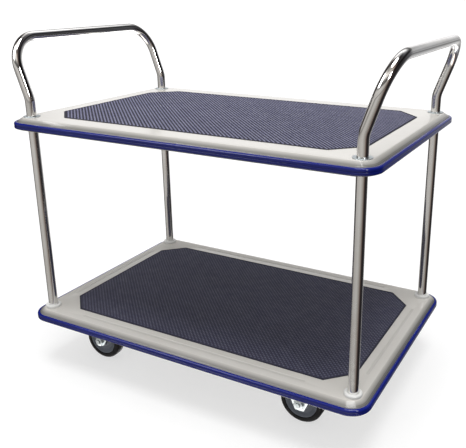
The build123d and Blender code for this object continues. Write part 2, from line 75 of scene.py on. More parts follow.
# Sizes the frame's boxes don't give
SHEET = 2.0
FLANGE_CORNER = 39.0
BAND_IN = 13.0  # from a deck's edge to the top of its sloping band
TOP_IN = 22.0  # and to where its flat top is filled in
GROOVE_SHORT = (88, 67)  # how far a margin's groove ends inside the mat's ends, along X and Y
GROOVE_PRESS = ((4.0, 0), (3.7, 0.06), (3.4, 0.35), (3.1, 0.64), (2.7, 0.7), (0.05, 0.7))
STRIP_JOINT_Y, STRIP_JOINT_GAP = 30.0, 0.8
STRIP_GROOVE = 0.42  # the groove's share of the bumper strip's height
CHANNEL_FLANGE = 15.0
WELD_STARTS, WELD_LENGTH = (-240, -130, -20, 90, 200), 38.0
TUBE_WALL = 1.5
HANDLE_KNEE = 42.0  # from the deck to the knee's corner
HANDLE_KNEE_R = 60.0
HANDLE_BEND_R = 75.0
BORE_CLEAR = 0.2  # collars and bushes round their posts
MAT_CUT = {"lower": 54.0, "upper": 59.0}  # the corners cut off, along each side
MAT_CORNER_R = {"lower": 2.0, "upper": 10.0}
BOLT_R = 4.0
BOLT_HEX = 7.5  # half across the flats
THREAD_PITCH, THREAD_DEPTH = 1.5, 0.5
AXLE_R = 6.0
AXLE_HEX = 10.4
AXLE_HEAD, AXLE_NUT = 6.0, 7.5  # heights
LEG_IN, LEG_OUT = 18.5, 21.0  # a caster leg's inner and outer face from the wheel's middle
PLATE_T = 2.5
PLATE_HALF = (50.0, 40.0)
PLATE_BOLTS = (40, 30)  # from a plate's middle
CROWN_LOW = 107.0  # the underside of a fork's crown, above the floor
CROWN_BACK = 13.0  # from the kingpin to the crown's middle, towards the wheel
TRACK_IN, TRACK_MID, TRACK_OUT, TRACK_DIP = 15.5, 19.0, 22.5, 1.5  # a ball track's lips and groove

# The mats' lattice of domes
DOME_STEP = 5.1
DOME_H = 0.9
DOME_FOOT_R, DOME_TOP_R = 2.75, 1.9
DOMES_IN = 6.2  # from a mat's edge to the outermost domes
MAT_BORDER = 3.0  # the plain strip that never gets the pale scuffed and painted-highlight tone
MAT_SCUFF_AND_PAINTED_LIGHT = {"lower": (0.12, 0.44), "upper": (0.0, 1.0)}  # scuffing and painted highlight between the domes and on their tops; the lower mat's narrower range is painted shade

# Painted shade on a deck's shoulder and sloping band, by depth below the top: (where the painted shade
# starts, how far it takes to be full)
SHOULDER_SHADE = (0.4, 1.4)
BAND_FOOT_SHADOW = (5.0, 0.7)
SHOULDER_END = 8.5

# Scene sizes in metres
FLOOR_HALF = 40.0
CAMERA_PLACE = Vector((0.801, -1.310, 0.930))
CAMERA_YAW, CAMERA_PITCH = math.radians(27.76), math.radians(17.75)

# The studio as the object's gloss shows it: degrees round from +X, shade
STUDIO_BANDS = (
    (-180, (0.05, 0.045, 0.045)),
    (-170, (0.12, 0.11, 0.11)),
    (-160, (0.55, 0.53, 0.50)),
    (-84, (0.66, 0.64, 0.61)),
    (-46, (0.43, 0.40, 0.365)),
    (-26, (0.24, 0.19, 0.165)),
    (-14, (0.08, 0.055, 0.048)),
    (-2, (0.025, 0.02, 0.02)),
    (36, (0.03, 0.028, 0.03)),
    (62, (0.12, 0.12, 0.13)),
    (78, (0.46, 0.46, 0.46)),
    (94, (0.95, 0.94, 0.94)),
    (136, (0.95, 0.94, 0.94)),
    (144, (0.25, 0.23, 0.22)),
    (156, (0.04, 0.035, 0.035)),
)
# and from straight down (0) to straight up (1): a dark line at the horizon, a bright band overhead
STUDIO_HEIGHTS = (
    (0.15, (4.5, 4.5, 4.5)),
    (0.21, (0.7, 0.7, 0.7)),
    (0.40, (0.95, 0.95, 0.95)),
    (0.435, (0.72, 0.71, 0.70)),
    (0.455, (0.42, 0.41, 0.40)),
    (0.475, (0.72, 0.71, 0.70)),
    (0.51, (1.25, 1.25, 1.25)),
    (0.54, (0.8, 0.8, 0.8)),
    (0.57, (1.12, 1.12, 1.12)),
    (0.62, (1.12, 1.12, 1.12)),
    (0.68, (0.24, 0.24, 0.24)),
    (0.75, (0.20, 0.20, 0.20)),
    (0.80, (0.7, 0.7, 0.7)),
    (0.84, (1.7, 1.7, 1.7)),
    (0.90, (1.7, 1.7, 1.7)),
    (0.93, (0.7, 0.7, 0.7)),
)
# The soft dome: the side it leans to, and how bright it is away from and towards that side
SOFT_FROM = Vector((-0.22, 0.0, 1.0)).normalized()
SOFT_RANGE = (0.12, 0.74)


def span(node):
    """A node's lowest and highest corner, in millimetres."""
    low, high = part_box(node)
    return low / MM, high / MM


def middle(node):
    """The middle of a node's box, in millimetres."""
    low, high = span(node)
    return (low + high) / 2


def risen(value, start, run):
    """How far a value has come past start, from 0 up to 1 after run."""
    return min(1.0, max(0.0, (value - start) / run))


# Materials ------------------------------------------------------------------------
class Nodes:
    """A node tree, with short calls for the nodes these looks use."""

    def __init__(self, tree):
        self.tree = tree

    def node(self, kind, values=(), **settings):
        made = self.tree.nodes.new("ShaderNode" + kind)
        for key, value in settings.items():
            setattr(made, key, value)
        for key, value in dict(values).items():
            self.feed(made.inputs[key], value)
        return made

    def feed(self, socket, value):
        if isinstance(value, bpy.types.NodeSocket):
            self.tree.links.new(value, socket)
        else:
            socket.default_value = value

    def fit(self, value, low, high, to_low, to_high):
        values = {"Value": value, "From Min": low, "From Max": high, "To Min": to_low, "To Max": to_high}
        return self.node("MapRange", values).outputs["Result"]

    def mix(self, share, first, second):
        """Mixes two colours, each (r, g, b) or an output."""
        made = self.node("Mix", data_type="RGBA")
        self.feed(made.inputs[0], share)
        for socket, shade in zip((made.inputs[6], made.inputs[7]), (first, second)):
            self.feed(socket, shade if isinstance(shade, bpy.types.NodeSocket) else (*shade, 1))
        return made.outputs[2]

    def choose(self, share, first, second):
        """Mixes two plain values."""
        return self.node("Mix", {0: share, 2: first, 3: second}, data_type="FLOAT").outputs[0]

    def ramp(self, value, stops):
        made = self.node("ValToRGB", {"Fac": value})
        elements = made.color_ramp.elements
        for _ in range(len(stops) - len(elements)):
            elements.new(0.5)
        for element, (place, shade) in zip(elements, stops):
            element.position = place
            element.color = (*shade, 1)
        return made.outputs["Color"]


class Shader(Nodes):
    """A material round one Principled surface."""

    def __init__(self, name, roughness, metallic=0.0, **sockets):
        self.material = bpy.data.materials.new(name)
        self.material.use_nodes = True
        super().__init__(self.material.node_tree)
        self.surface = self.tree.nodes["Principled BSDF"]
        self.surface.inputs["Metallic"].default_value = metallic
        self.surface.inputs["Roughness"].default_value = roughness
        for socket, value in sockets.items():
            self.surface.inputs[socket.replace("_", " ")].default_value = value
        self.place = self.node("TexCoord").outputs["Object"]

    def noise(self, scale, detail, stretch=None):
        place = self.place
        if stretch:
            place = self.node("Mapping", {"Vector": place, "Scale": stretch}).outputs["Vector"]
        return self.node("TexNoise", {"Vector": place, "Scale": scale, "Detail": detail}).outputs["Fac"]

    def colour(self, output):
        self.feed(self.surface.inputs["Base Color"], output)
        return self

    def rough(self, value, low, high):
        """Drives the roughness between low and high by a noise."""
        self.feed(self.surface.inputs["Roughness"], self.fit(value, 0.3, 0.7, low, high))
        return self

    def bump(self, layers):
        """Stacks bumps: one (height output, depth in millimetres) for each layer."""
        normal = None
        for height, depth in layers:
            values = {"Height": height, "Distance": depth * MM, "Strength": 1.0}
            if normal is not None:
                values["Normal"] = normal
            normal = self.node("Bump", values).outputs["Normal"]
        self.feed(self.surface.inputs["Normal"], normal)
        return self


def enamel():
    """Ivory stoving enamel: faint clouding, orange peel, a little dust and fine rubbing.

    The attribute "edge" paints shade into it: up to 1 greys a deck's shoulder and sloping band, up to 2
    adds a painted shadow line at the sloping band's foot.
    """
    s = Shader("deck_enamel", 0.36, Specular_IOR_Level=0.2, Coat_Weight=0.75, Coat_Roughness=0.12)
    ivory = s.mix(s.fit(s.noise(5, 4), 0.35, 0.65, 0, 1), (0.72, 0.695, 0.65), (0.76, 0.737, 0.695))
    dusty = s.mix(s.fit(s.noise(90, 6), 0.55, 0.85, 0, 0.14), ivory, (0.60, 0.585, 0.54))
    streaks = s.noise(60, 5, stretch=(0.2, 9, 4))
    rubbed = s.mix(s.fit(streaks, 0.66, 0.78, 0, 0.07), dusty, (0.62, 0.605, 0.56))
    # Painted shade: the shoulder and sloping band go grey, and a near-black painted shadow line lies at the
    # band's foot
    edge = s.node("Attribute", attribute_name="edge").outputs["Fac"]
    shoulder_shaded = s.mix(s.fit(edge, 0, 1, 0, 0.85), rubbed, (0.27, 0.262, 0.25))
    s.colour(s.mix(s.fit(edge, 1, 2, 0, 0.8), shoulder_shaded, (0.05, 0.048, 0.046)))
    s.rough(s.noise(40, 4), 0.3, 0.46)
    return s.bump([(s.noise(420, 2), 0.03), (s.noise(9, 2), 0.25)])


def vinyl():
    """Dark navy vinyl with a fine grain, paler where the attribute "raised" says: partly scuffing, partly
    painted highlight on the dome tops.
    """
    s = Shader("ribbed_vinyl", 0.42, Specular_IOR_Level=0.5)
    base = s.mix(s.fit(s.noise(7, 4), 0.35, 0.65, 0, 1), (0.003, 0.003, 0.022), (0.005, 0.005, 0.030))
    # The pale blue dome tops: partly scuffing, partly painted highlight
    tops = s.mix(s.fit(s.noise(34, 6), 0.4, 0.7, 0, 1), (0.235, 0.237, 0.39), (0.305, 0.308, 0.47))
    raised = s.node("Attribute", attribute_name="raised").outputs["Fac"]
    s.colour(s.mix(raised, base, tops))
    scuff = s.fit(s.noise(55, 5), 0.3, 0.7, -0.06, 0.08)
    gloss = s.node("Math", {0: s.fit(raised, 0, 1, 0.72, 0.36), 1: scuff}, operation="ADD")
    s.feed(s.surface.inputs["Roughness"], gloss.outputs["Value"])
    return s.bump([(s.noise(1500, 3), 0.05)])


def bumper():
    """Glossy blue extruded PVC, with faint draw lines and a few scuffs."""
    s = Shader("bumper_pvc", 0.12, Specular_IOR_Level=0.34)
    blue = s.mix(s.fit(s.noise(6, 3), 0.35, 0.65, 0, 1), (0.006, 0.014, 0.21), (0.010, 0.020, 0.26))
    scuffed = s.fit(s.noise(80, 6, stretch=(0.35, 0.35, 4)), 0.66, 0.78, 0, 0.2)
    s.colour(s.mix(scuffed, blue, (0.02, 0.03, 0.2)))
    s.rough(s.noise(50, 4), 0.05, 0.12)
    return s.bump([(s.noise(70, 2, stretch=(0.1, 0.1, 9)), 0.03)])


def chrome():
    """Bright chromed tube with faint smears and a soft polishing grain."""
    s = Shader("chromed_tube", 0.08, metallic=1.0)
    s.colour(s.mix(s.fit(s.noise(11, 3), 0.38, 0.62, 0, 1), (0.76, 0.745, 0.73), (0.82, 0.82, 0.82)))
    s.rough(s.noise(60, 5), 0.05, 0.15)
    return s.bump([(s.noise(16, 3), 0.12)])


def zinc():
    """Bright zinc plate: a bluish passivated film in soft cells."""
    s = Shader("zinc_steel", 0.34, metallic=1.0)
    cells = s.node("TexVoronoi", {"Vector": s.place, "Scale": 420}).outputs["Color"]
    grey = s.node("RGBToBW", {"Color": s.mix(0.85, cells, (0.5, 0.5, 0.5))}).outputs["Val"]
    plate = s.mix(s.fit(grey, 0.4, 0.6, 0, 1), (0.58, 0.645, 0.68), (0.69, 0.745, 0.775))
    s.colour(s.mix(s.fit(s.noise(45, 4), 0.55, 0.75, 0, 0.4), plate, (0.62, 0.63, 0.575)))
    s.rough(s.noise(140, 4), 0.24, 0.46)
    return s.bump([(s.noise(600, 3), 0.02)])


def steel():
    """Polished ball steel."""
    s = Shader("ball_steel", 0.16, metallic=1.0)
    s.colour(s.mix(s.fit(s.noise(200, 2), 0.4, 0.6, 0, 1), (0.55, 0.55, 0.56), (0.68, 0.68, 0.69)))
    return s.rough(s.noise(300, 3), 0.1, 0.24)


def moulded(name, first, second, low, high, grain=0.02, **sockets):
    """A moulded plastic or rubber: two near tones, uneven gloss and a fine grain."""
    s = Shader(name, (low + high) / 2, **sockets)
    s.colour(s.mix(s.fit(s.noise(38, 5), 0.38, 0.66, 0, 1), first, second))
    s.rough(s.noise(90, 4), low, high)
    return s.bump([(s.noise(1100, 3), grain)])


SHADERS = [
    enamel(),
    vinyl(),
    bumper(),
    chrome(),
    zinc(),
    steel(),
    moulded("white_plastic", (0.90, 0.90, 0.88), (0.94, 0.94, 0.92), 0.28, 0.4, Coat_Weight=0.15),
    moulded("cream_plastic", (0.74, 0.72, 0.66), (0.79, 0.775, 0.72), 0.3, 0.44),
    moulded("wheel_centre", (0.15, 0.17, 0.21), (0.185, 0.205, 0.25), 0.4, 0.55, 0.03),
    moulded(
        "tyre_rubber",
        (0.003, 0.003, 0.004),
        (0.008, 0.008, 0.01),
        0.55,
        0.75,
        grain=0.05,
        Specular_IOR_Level=0.18,
    ),
    moulded("bearing_sleeve", (0.62, 0.61, 0.57), (0.7, 0.69, 0.65), 0.35, 0.5),
]
MATERIALS = {s.material.name.split(".")[0]: s.material for s in SHADERS}
# The CAD nodes that stay visible take the same materials
for node in NODES.values():
    for place in node.material_slots:
        place.material = MATERIALS[place.material.name.split(".")[0]]


# Shapes ---------------------------------------------------------------------------
def rounded(points, radii, closed=False, turn=9.0):
    """A line of straight runs with its corners rounded. turn is the arc's step in degrees."""
    points = [Vector(p) for p in points]
    count = len(points)
    made = []
    for i, p in enumerate(points):
        radius = radii[i] if hasattr(radii, "__len__") else radii
        if not radius or (not closed and i in (0, count - 1)):
            made.append(p)
            continue
        back = (points[i - 1] - p).normalized()
        ahead = (points[(i + 1) % count] - p).normalized()
        half = back.angle(ahead) / 2
        centre = p + (back + ahead).normalized() * radius / math.sin(half)
        reach = radius / math.tan(half)
        start, end = p + back * reach - centre, p + ahead * reach - centre
        sweep = math.pi - 2 * half
        steps = max(2, round(math.degrees(sweep) / turn))
        for k in range(steps + 1):
            a, b = math.sin(sweep * (1 - k / steps)), math.sin(sweep * k / steps)
            made.append(centre + (start * a + end * b) / math.sin(sweep))
    return made


def inset(outline, distance):
    """A closed counter-clockwise outline moved inwards."""
    made = []
    for i, p in enumerate(outline):
        before = (p - outline[i - 1]).normalized()
        after = (outline[(i + 1) % len(outline)] - p).normalized()
        first, second = Vector((before.y, -before.x)), Vector((after.y, -after.x))
        made.append(p - (first + second) / (1 + first.dot(second)) * distance)
    return made


def hull(points):
    """The convex outline of 2-D points, counter-clockwise."""
    points = sorted({(round(x, 4), round(y, 4)) for x, y in points})
    made = []
    for row in (points, points[::-1]):
        part = []
        for p in row:
            while len(part) > 1 and (part[-1][0] - part[-2][0]) * (p[1] - part[-2][1]) <= (
                part[-1][1] - part[-2][1]
            ) * (p[0] - part[-2][0]):
                part.pop()
            part.append(p)
        made += part[:-1]
    return [Vector(p) for p in made]


def cross_axes(axis):
    """Two unit vectors square to an axis."""
    axis = Vector(axis).normalized()
    side = Vector((1, 0, 0)) if abs(axis.x) < 0.9 else Vector((0, 1, 0))
    first = side.cross(axis).normalized()
    return first, axis.cross(first), axis


def loop_line(half_x, half_y, radius, steps=12):
    """A rounded rectangle from its +X side's top end round: (x, y, outward x, outward y)."""
    line = []
    for quarter, (sx, sy) in enumerate(((1, 1), (-1, 1), (-1, -1), (1, -1))):
        for i in range(steps + 1):
            angle = math.pi / 2 * (quarter + i / steps)
            nx, ny = math.cos(angle), math.sin(angle)
            cx, cy = sx * (half_x - radius), sy * (half_y - radius)
            line.append((cx + radius * nx, cy + radius * ny, nx, ny))
    return line


def carried(section, line):
    """An (outwards, height) section at every point of a line of loop_line."""
    return [[Vector((x + nx * d, y + ny * d, z)) for d, z in section] for x, y, nx, ny in line]


class Solid:
    """Closed shapes gathered into one mesh."""

    def __init__(self):
        self.points = []
        self.faces = []

    def grid(self, rows, close_rows=False, caps=False):
        """Quads between rows of points; each row closes on itself."""
        base, across, count = len(self.points), len(rows[0]), len(rows)
        for row in rows:
            self.points += row
        for i in range(count if close_rows else count - 1):
            a, b = base + i * across, base + (i + 1) % count * across
            for j in range(across):
                k = (j + 1) % across
                self.faces.append((a + j, a + k, b + k, b + j))
        if caps:
            self.faces.append(tuple(range(base + across - 1, base - 1, -1)))
            self.faces.append(tuple(range(base + (count - 1) * across, base + count * across)))
        return self

    def turned(self, profile, origin, axis=UP, steps=64, ring=False):
        """Revolves (radius, height) points; a ring's profile closes on itself."""
        u, v, w = cross_axes(axis)
        origin = Vector(origin)
        angles = [2 * math.pi * j / steps for j in range(steps)]
        around = [u * math.cos(a) + v * math.sin(a) for a in angles]
        rows = [[origin + w * h + d * r for d in around] for r, h in profile]
        return self.grid(rows, close_rows=ring)

    def hexagon(self, origin, axis, apothem, height, bore=0.0):
        """A bolt head or nut standing on its seat, chamfered at its free end."""
        steps = 48
        u, v, w = cross_axes(axis)
        origin = Vector(origin)
        seat, rim, crown, hole_high, hole_low = [], [], [], [], []
        for j in range(steps):
            angle = 2 * math.pi * j / steps
            around = u * math.cos(angle) + v * math.sin(angle)
            corner = (angle + math.pi / 6) % (math.pi / 3) - math.pi / 6
            reach = apothem / math.cos(corner)
            seat.append(origin + around * reach)
            rim.append(origin + around * reach + w * (height - 0.4 - 0.6 * (reach - apothem)))
            crown.append(origin + around * apothem * 0.94 + w * height)
            hole_high.append(origin + around * bore + w * height)
            hole_low.append(origin + around * bore)
        return self.grid([seat, rim, crown, hole_high, hole_low], close_rows=True)

    def prism(self, outline, low, high, edge=0.5, place=None):
        """Extrudes a 2-D outline, with its long edges rounded over. place maps (x, y, height)."""
        place = place or (lambda x, y, h: (x, y, h))
        layers = [(edge, low), (0.3 * edge, low + 0.3 * edge), (0, low + edge)]
        layers += [(0, high - edge), (0.3 * edge, high - 0.3 * edge), (edge, high)]
        rows = []
        for distance, height in layers:
            line = inset(outline, distance) if distance else outline
            rows.append([Vector(place(p.x, p.y, height)) for p in line])
        return self.grid(rows, caps=True)

    def tube(self, path, radius, steps):
        """A round bar or tube along a path; radius is one number or one for each point."""
        path = [Vector(p) for p in path]
        radii = radius if hasattr(radius, "__len__") else [radius] * len(path)
        side, rows = None, []
        for i, p in enumerate(path):
            ahead = (path[min(i + 1, len(path) - 1)] - path[max(i - 1, 0)]).normalized()
            if side is None:
                side = cross_axes(ahead)[0]
            side = (side - ahead * side.dot(ahead)).normalized()
            other = ahead.cross(side)
            angles = [2 * math.pi * j / steps for j in range(steps)]
            rows.append([p + (side * math.cos(a) + other * math.sin(a)) * radii[i] for a in angles])
        return self.grid(rows, caps=True)

    def piece(self, name, body, slot, replaces=(), sharp=38.0):
        """Makes the Blender object: cleaned, shaded, riding on its body."""
        mesh = bpy.data.meshes.new(name)
        mesh.from_pydata([tuple(p * MM) for p in self.points], [], self.faces)
        work = bmesh.new()
        work.from_mesh(mesh)
        bmesh.ops.remove_doubles(work, verts=work.verts, dist=1e-6)
        bmesh.ops.recalc_face_normals(work, faces=work.faces)
        work.to_mesh(mesh)
        work.free()
        mesh.shade_smooth()
        mesh.set_sharp_from_angle(angle=math.radians(sharp))
        mesh.materials.append(MATERIALS[slot])
        made = bpy.data.objects.new(name, mesh)
        bpy.context.scene.collection.objects.link(made)
        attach(made, body)
        if replaces:
            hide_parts(*replaces)
        return made


def thread_profile(radius, low, high):
    """A bolt's threaded end, from its surface at low to its chamfered tip at high."""
    made, height = [(radius, low)], low + THREAD_PITCH / 2
    while height < high - THREAD_PITCH:
        made += [(radius - THREAD_DEPTH, height), (radius, height + THREAD_PITCH / 2)]
        height += THREAD_PITCH
    return made + [(radius - 0.9, high), (0, high)]


# Decks ----------------------------------------------------------------------------
def slot_line(centre, half_length, radius, along_x):
    """A long round-ended slot seen from above, counter-clockwise."""
    made, steps = [], 10
    for end, start in ((1, -90), (-1, 90)):
        for i in range(steps + 1):
            angle = math.radians(start + 180 * i / steps)
            x, y = end * half_length + radius * math.cos(angle), radius * math.sin(angle)
            if not along_x:
                x, y = -y, x
            made.append(Vector((centre[0] + x, centre[1] + y)))
    return made


def make_deck(level):
    """The pressed tray: flat top, shoulder, sloping band, flange and return lip."""
    low, high = span(f"{level}_deck")
    top, foot = high.z, low.z
    line = loop_line(high.x, high.y, FLANGE_CORNER)
    rim = -TOP_IN
    section = rounded(
        [
            (rim, top),
            (-BAND_IN, top),
            (-4.94, top - 4.96),
            (-3.64, top - 5.76),
            (0, top - 8),
            (0, foot),
            (-12, foot),
            (-12, foot + SHEET),
            (-SHEET, foot + SHEET),
            (-SHEET, top - 10),
            (-14, top - SHEET),
            (rim, top - SHEET),
        ],
        [0, 5, 0, 0, 2.0, 1.4, 0.6, 0.6, 1.0, 1.5, 3, 0],
        turn=5.0,
    )
    deck = Solid()
    across, count = len(section), len(line)
    for row in carried(section, line):
        deck.points += row
    for i in range(count):
        a, b = i * across, (i + 1) % count * across
        deck.faces += [(a + j, a + j + 1, b + j + 1, b + j) for j in range(across - 1)]
    deck.faces.append(tuple(i * across + across - 1 for i in range(count)))
    openings = []
    if level == "lower":
        mat = span("lower_mat")[1]
        y_line = (mat.y + high.y - BAND_IN) / 2
        x_line = (mat.x + high.x - BAND_IN) / 2
        for sign in (-1, 1):
            openings.append(((0, sign * y_line), mat.x - GROOVE_SHORT[0], True))
            openings.append(((sign * x_line, 0), mat.y - GROOVE_SHORT[1], False))
    fill_top(deck, [i * across for i in range(count)], openings, top)
    made = deck.piece(f"deck_{level}", "frame", "deck_enamel", [f"{level}_deck"], sharp=50)
    # Painted shade: the attribute "edge" greys the upward-facing shoulder and sloping band and paints a
    # shadow line at the band's foot, strongest on the +X and -X ends
    edge = made.data.attributes.new("edge", "FLOAT", "POINT")
    for corner, value in zip(made.data.vertices, edge.data):
        depth = top - corner.co.z / MM
        if depth < SHOULDER_END and corner.normal.z > 0.05:
            foot_shadow_share = 0.25 + 0.75 * abs(corner.normal.x)
            value.value = risen(depth, *SHOULDER_SHADE) + risen(depth, *BAND_FOOT_SHADOW) * foot_shadow_share


def fill_top(deck, outer, openings, top):
    """The flat top inside the outer line of points, with the soft grooves pressed into it."""
    work = bmesh.new()
    corners = [work.verts.new(deck.points[i]) for i in outer]
    edges = [work.edges.new((corners[i - 1], corners[i])) for i in range(len(corners))]
    index = {v: i for v, i in zip(corners, outer)}
    for centre, half_length, along_x in openings:
        rings = []
        for radius, depth in GROOVE_PRESS:
            ring = slot_line(centre, half_length, radius, along_x)
            rings.append([Vector((p.x, p.y, top - depth)) for p in ring])
        base = len(deck.points)
        deck.grid(rings)
        deck.faces.append(tuple(range(len(deck.points) - len(rings[0]), len(deck.points))))
        hole = [work.verts.new(p) for p in rings[0]]
        index.update({v: base + i for i, v in enumerate(hole)})
        edges += [work.edges.new((hole[i - 1], hole[i])) for i in range(len(hole))]
    filled = bmesh.ops.triangle_fill(work, use_beauty=True, edges=edges, normal=UP)
    for face in filled["geom"]:
        if isinstance(face, bmesh.types.BMFace):
            deck.faces.append(tuple(index[v] for v in face.verts))
    work.free()


def make_mat(level):
    """A vinyl sheet with its corners cut off and a close lattice of low domes."""
    low, high = span(f"{level}_mat")
    cut = MAT_CUT[level]
    corners = [(high.x, -high.y + cut), (high.x, high.y - cut), (high.x - cut, high.y)]
    corners += [(-high.x + cut, high.y), (-high.x, high.y - cut), (-high.x, -high.y + cut)]
    corners += [(-high.x + cut, -high.y), (high.x - cut, -high.y)]
    outline = rounded(corners, MAT_CORNER_R[level], closed=True)
    face = high.z - DOME_H
    mat = Solid()
    layers = [(0.3, low.z), (0, low.z + 0.3), (0, high.z - 0.5), (0.5, high.z - 0.1), (1.4, high.z)]
    layers += [(2.6, high.z), (3.4, face + 0.1), (4.0, face), (5.0, face)]
    rows = [[Vector((p.x, p.y, height)) for p in inset(outline, distance)] for distance, height in layers]
    under, over = ([Vector((0, 0, height))] * len(outline) for height in (low.z, face))
    mat.grid([under, *rows, over])
    reach_x, reach_y = high.x - DOMES_IN, high.y - DOMES_IN
    reach_cut = high.x + high.y - cut - DOMES_IN * math.sqrt(2)
    turns = [(math.cos(a), math.sin(a)) for a in (math.pi / 3 * k for k in range(6))]
    for i in range(-int(reach_x / DOME_STEP), int(reach_x / DOME_STEP) + 1):
        for j in range(-int(reach_y / DOME_STEP), int(reach_y / DOME_STEP) + 1):
            x, y = i * DOME_STEP, j * DOME_STEP
            if (i + j) % 2 or abs(x) + abs(y) > reach_cut:
                continue
            base = len(mat.points)
            for radius, height in ((DOME_FOOT_R, face - 0.05), (DOME_TOP_R, high.z - 0.12)):
                mat.points += [Vector((x + radius * c, y + radius * s, height)) for c, s in turns]
            mat.points.append(Vector((x, y, high.z)))
            for k in range(6):
                a, b = base + k, base + (k + 1) % 6
                mat.faces += [(a, b, b + 6, a + 6), (a + 6, b + 6, base + 12)]
    made = mat.piece(f"mat_{level}", "frame", "ribbed_vinyl", [f"{level}_mat"], sharp=60)
    # The attribute "raised" pales the dome tops: partly scuffing, partly painted highlight; the lower mat's
    # narrower range is painted shade
    raised = made.data.attributes.new("raised", "FLOAT", "POINT")
    least, most = MAT_SCUFF_AND_PAINTED_LIGHT[level]
    inner_x, inner_y = high.x - MAT_BORDER, high.y - MAT_BORDER
    inner_cut = high.x + high.y - cut - MAT_BORDER * math.sqrt(2)
    for corner, value in zip(made.data.vertices, raised.data):
        x, y, z = corner.co / MM
        if abs(x) < inner_x and abs(y) < inner_y and abs(x) + abs(y) < inner_cut:
            value.value = least + (most - least) * risen(z, face, high.z - face)


def make_bumper(level):
    """The strip round the flange: rolled upper lip, one groove, and a joint on the +X side."""
    low, high = span(f"{level}_bumper")
    deck_high = span(f"{level}_deck")[1]
    thick = high.x - deck_high.x
    line = loop_line(high.x, high.y, FLANGE_CORNER + thick, steps=16)
    line.insert(0, (high.x, STRIP_JOINT_Y + STRIP_JOINT_GAP / 2, 1, 0))
    line.append((high.x, STRIP_JOINT_Y - STRIP_JOINT_GAP / 2, 1, 0))
    groove = low.z + STRIP_GROOVE * (high.z - low.z)
    section = rounded(
        [
            (-thick, high.z - 2.6),
            (-thick + 1.3, high.z),
            (0, high.z),
            (0, groove + 1.7),
            (-1.0, groove + 0.7),
            (0, groove),
            (0, low.z),
            (-thick, low.z),
        ],
        [0, 1.0, 4.4, 0.3, 0.3, 0.8, 3.0, 0],
        turn=11.0,
    )
    strip = Solid().grid(carried(section, line), caps=True)
    strip.piece(f"bumper_{level}", "frame", "bumper_pvc", [f"{level}_bumper"], sharp=50)


def make_channel(level, end):
    """A pressed hat-section member under a deck, with its bends rounded."""
    low, high = span(f"{level}_channel_{end}")
    centre_x = (low.x + high.x) / 2
    half = (high.x - low.x) / 2
    web, depth = half - CHANNEL_FLANGE, high.z - low.z
    right = [
        (web, -depth),
        (web, -SHEET),
        (half, -SHEET),
        (half, 0),
        (web - SHEET, 0),
        (web - SHEET, -depth + SHEET),
    ]
    radii = [3.2, 1.6, 0.5, 0.5, 2.6, 1.4]
    outline = right + [(-x, z) for x, z in reversed(right)]
    outline = rounded(outline, radii + radii[::-1], closed=True)
    channel = Solid()

    def place(x, z, y):
        return (centre_x + x, y, high.z + z)

    channel.prism(outline, low.y, high.y, 0.3, place)
    for edge in (-1, 1):
        for start in WELD_STARTS:
            channel.tube(*weld(centre_x + edge * half, start, high.z - 0.9), steps=10)
    channel.piece(f"channel_{level}_{end}", "frame", "deck_enamel", [f"{level}_channel_{end}"])


def weld(x, start, z):
    """A short rippled bead along Y: its path and its radii."""
    steps = 38
    path, radii = [], []
    for i in range(steps + 1):
        share = i / steps
        path.append((x, start + WELD_LENGTH * share, z))
        fade = min(1, 6 * share, 6 * (1 - share)) ** 0.5
        radii.append(max(0.05, (2.0 + 0.28 * math.sin(i * 1.9)) * fade))
    return path, radii


# Tubes ----------------------------------------------------------------------------
def make_post(spot):
    """A chromed post, its white foot collar and the tapered bush under the upper deck."""
    low, high = span(f"post_{spot}")
    centre = (low + high) / 2
    radius = (high.x - low.x) / 2
    length = high.z - low.z
    hollow = radius - TUBE_WALL
    profile = [(hollow, 0), (radius - 0.3, 0), (radius, 0.3), (radius, length / 2)]
    profile += [(radius, length - 0.3), (radius - 0.3, length), (hollow, length)]
    foot = (centre.x, centre.y, low.z)
    post = Solid().turned(profile, foot, steps=96, ring=True)
    post.piece(f"tube_post_{spot}", "frame", "chromed_tube", [f"post_{spot}"])

    low, high = span(f"post_collar_{spot}")
    outer, height = (high.x - low.x) / 2, high.z - low.z
    section = rounded(
        [(radius + BORE_CLEAR, 0), (outer, 0), (outer, height), (radius + BORE_CLEAR, height)],
        [0, 0.5, 3.4, 1.4],
        closed=True,
    )
    collar = Solid().turned(section, foot, steps=96, ring=True)
    collar.piece(f"collar_{spot}", "frame", "white_plastic", [f"post_collar_{spot}"])

    low, high = span(f"post_bush_{spot}")
    wide, height = (high.x - low.x) / 2, high.z - low.z
    section = rounded(
        [
            (radius + BORE_CLEAR, 0),
            (wide - 2.2, 0),
            (wide - 0.9, height - 5),
            (wide, height - 4.4),
            (wide, height),
            (radius + BORE_CLEAR, height),
        ],
        [0.5, 2.4, 0.5, 0.5, 0.4, 0],
        closed=True,
    )
    bush = Solid().turned(section, (centre.x, centre.y, low.z), steps=96, ring=True)
    bush.piece(f"bush_{spot}", "frame", "cream_plastic", [f"post_bush_{spot}"])


